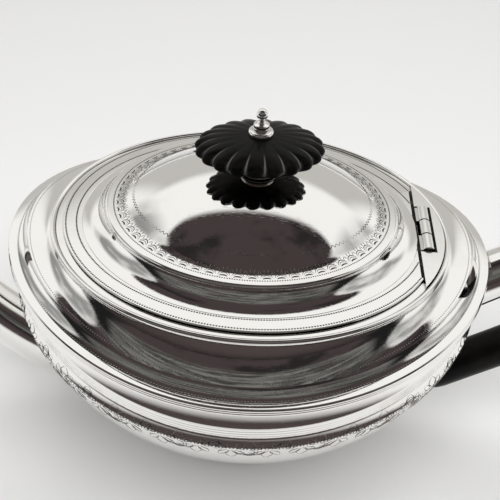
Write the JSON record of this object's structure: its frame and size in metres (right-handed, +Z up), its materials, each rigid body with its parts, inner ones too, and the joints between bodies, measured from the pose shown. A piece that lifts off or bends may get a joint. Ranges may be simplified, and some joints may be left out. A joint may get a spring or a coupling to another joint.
{
  "type": "teapot",
  "caption": "Oval boat-shaped teapot with a swept moulded rim, hinged domed lid, fluted finial, curved spout and loop handle, for brewing and pouring tea.",
  "frame": {"origin": "on the pot's own upright axis, at table level under the foot, midway between spout tip and handle", "axes": "+Z up from the table, +X from spout to handle, +Y away from the viewer"},
  "size_m": [0.2516, 0.1266, 0.1183],
  "materials": {
    "silver": "polished sterling silver with fine handling scratches",
    "ebony": "smooth black ebony, lightly waxed"
  },
  "bodies": {
    "pot": {"lower_body": "silver", "bottom_plate": "silver", "foot": "silver", "rim_band": "silver", "shoulder": "silver", "mouth_bead": "silver", "lid_ledge": "silver", "hinge_plate": "silver", "hinge_pin": "silver", "spout": "silver", "upper_socket": "silver", "lower_socket": "silver", "upper_rivet": "silver", "lower_rivet": "silver", "handle": "ebony"},
    "lid": {"lid": "silver", "lid_bezel": "silver", "lid_leaf": "silver", "finial_collar": "silver", "finial_button": "ebony", "finial_washer": "silver", "finial_screw": "silver", "finial_nut": "silver"}
  },
  "joints": [
    {"name": "lid_hinge", "type": "hinge", "parent": "pot", "child": "lid", "pos_m": [0.0532, 0.002, 0.0796], "axis": [0, 1, 0], "range_deg": [0, 95]}
  ]
}
